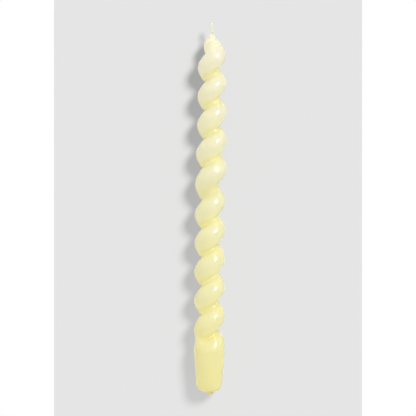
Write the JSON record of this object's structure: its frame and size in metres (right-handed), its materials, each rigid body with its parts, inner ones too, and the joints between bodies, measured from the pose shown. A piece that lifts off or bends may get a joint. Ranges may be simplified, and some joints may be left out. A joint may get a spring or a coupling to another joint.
{
  "type": "twisted candle",
  "caption": "Slim dinner candle coiled like a corkscrew from one round rod of pale yellow wax, with a tapered plug for a candle holder and a short cotton wick.",
  "frame": {"origin": "on the plug's axis, level with the lowest point of the wax drip under the plug", "axes": "+Z along the candle from the plug to the wick, +X to the right in the picture, where the first crest of the twist over the plug lies"},
  "size_m": [0.0252, 0.0238, 0.2901],
  "materials": {
    "coloured_wax": "very glossy pale yellow wax, creamier at the top and yellower at the plug, slightly translucent",
    "core_wax": "undyed ivory wax, matt where it is cut",
    "wick_cotton": "braided cotton soaked with wax",
    "wick_film_wax": "thin, nearly colourless wax film",
    "drip_wax": "glossy set drop of deeper yellow wax"
  },
  "bodies": {
    "root": {"colour_coat": "coloured_wax", "wax_core": "core_wax", "wick": "wick_cotton", "wick_wax": "wick_film_wax", "base_drip": "drip_wax"}
  },
  "joints": []
}
